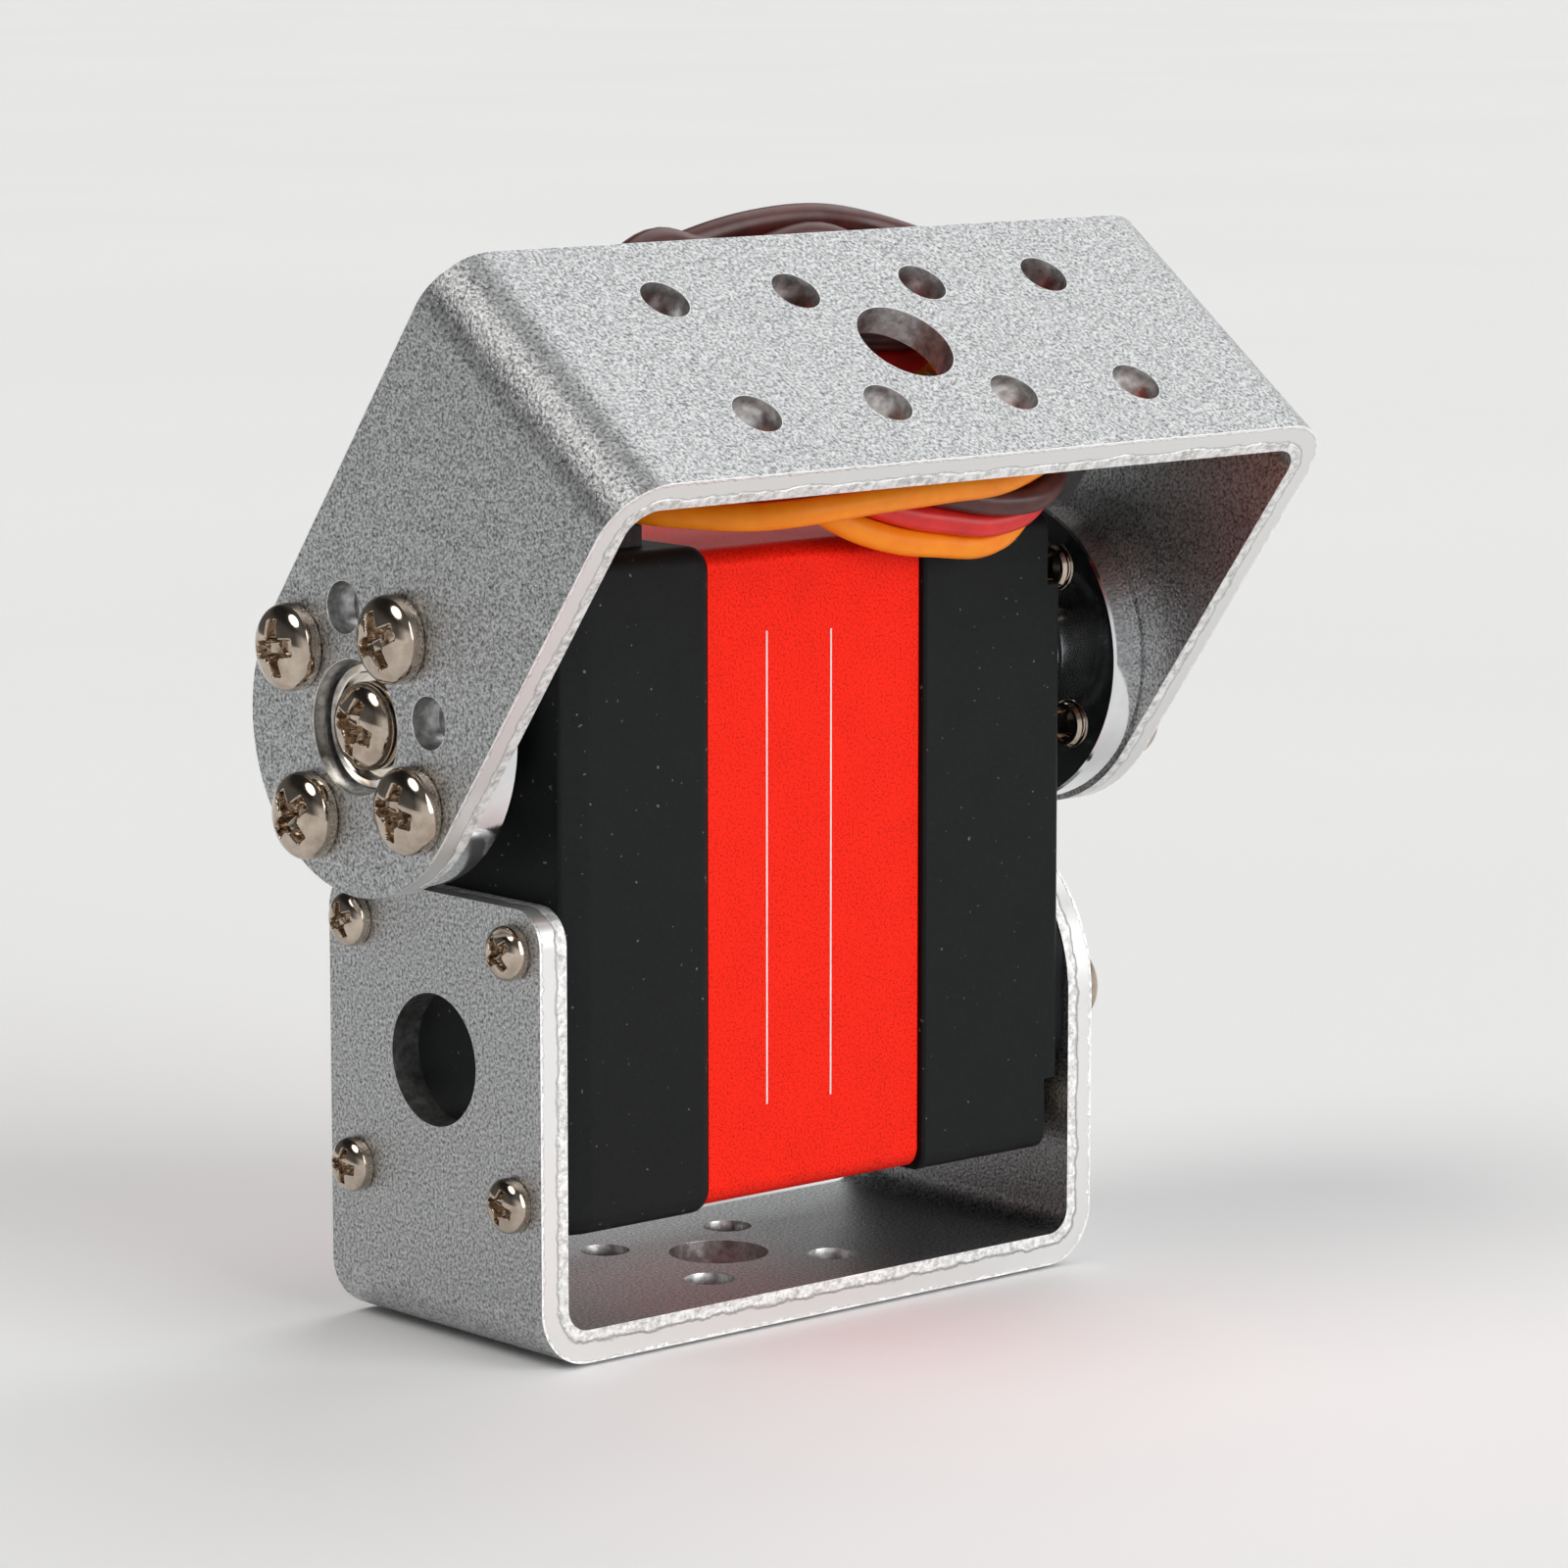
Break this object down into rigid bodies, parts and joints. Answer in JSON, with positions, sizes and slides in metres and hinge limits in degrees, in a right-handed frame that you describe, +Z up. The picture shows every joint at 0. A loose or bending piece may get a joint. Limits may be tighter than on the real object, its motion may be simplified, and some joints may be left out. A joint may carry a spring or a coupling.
{
  "type": "servo tilt mount",
  "caption": "Digital servo held in a short U bracket, tilting a long U bracket with a drilled mounting plate on discs at both ends of its shaft.",
  "frame": {"origin": "centre of the base bracket's bottom face, in the middle of its four fixing holes", "axes": "+X along the tilt axis towards the output horn, +Y to the back, +Z up, away from the base plate"},
  "size_m": [0.0604, 0.0343, 0.0661],
  "materials": {
    "bracket_aluminium": "bead blasted, anodised, with bright sheared edges",
    "black_case": "fine sparked texture, matte black",
    "red_anodised": "bead blasted and anodised red",
    "nickel_screw": "warm dark nickel plating",
    "machined_aluminium": "turned and polished",
    "black_rubber": "matte",
    "board_green": "solder mask",
    "steel": "ground",
    "magnet_black": "plated magnet",
    "cream_plastic": "moulded",
    "copper": "varnished winding",
    "brass": "cut gear brass",
    "sensor_blue": "moulded",
    "lead_insulation": "orange, red and brown PVC insulation",
    "connector_black": "moulded, slightly glossy"
  },
  "bodies": {
    "base": {"base_bracket": "bracket_aluminium", "base_screws_left": "nickel_screw", "base_screws_right": "nickel_screw", "bottom_case": "black_case", "middle_case": "red_anodised", "gear_case": "black_case", "case_screws": "steel", "lead_grommet": "black_rubber", "circuit_board": "board_green", "motor_can": "steel", "motor_magnets": "magnet_black", "motor_end_cap": "cream_plastic", "gear_pin_long": "steel", "gear_pin_short": "steel", "output_bearing": "steel", "sensor_body": "sensor_blue", "idle_bush": "machined_aluminium", "idle_center_screw": "nickel_screw", "lead_run": "lead_insulation"},
    "tilt": {"tilt_bracket": "bracket_aluminium", "output_horn": "machined_aluminium", "horn_screws": "nickel_screw", "horn_center_screw": "nickel_screw", "idle_disc": "machined_aluminium", "idle_screws": "nickel_screw", "output_gear": "steel", "sensor_shaft": "steel", "lead_loops": "lead_insulation", "lead_connector": "connector_black"},
    "rotor": {"motor_rotor": "copper", "motor_pinion": "brass"},
    "first_gear": {"gear_1": "brass"},
    "second_gear": {"gear_2": "steel"},
    "third_gear": {"gear_3": "brass"}
  },
  "joints": [
    {"name": "tilt_axis", "type": "hinge", "parent": "base", "child": "tilt", "pos_m": [0, 0, 0.0375], "axis": [1, 0, 0], "range_deg": [-126.7, 53.3], "deforming": ["lead_run"]},
    {"name": "third_gear_spin", "type": "hinge", "parent": "base", "child": "third_gear", "pos_m": [0, 0.00098, 0.02674], "axis": [1, 0, 0], "range_deg": [-140.6, 331.4]},
    {"name": "second_gear_spin", "type": "hinge", "parent": "base", "child": "second_gear", "pos_m": [0, -0.0015, 0.01862], "axis": [1, 0, 0], "range_deg": [-792.6, 334.6]},
    {"name": "first_gear_spin", "type": "hinge", "parent": "base", "child": "first_gear", "pos_m": [0, 0.00098, 0.02674], "axis": [1, 0, 0], "range_deg": [-800.2, 1899.5]},
    {"name": "rotor_spin", "type": "hinge", "parent": "base", "child": "rotor", "pos_m": [0, 0, 0.018], "axis": [1, 0, 0], "range_deg": [-6453.4, 2716]}
  ],
  "couplings": [
    {"joint": "third_gear_spin", "follows": "tilt_axis", "ratio": -2.6},
    {"joint": "second_gear_spin", "follows": "tilt_axis", "ratio": 6.24},
    {"joint": "first_gear_spin", "follows": "tilt_axis", "ratio": -14.976},
    {"joint": "rotor_spin", "follows": "tilt_axis", "ratio": 50.918}
  ]
}
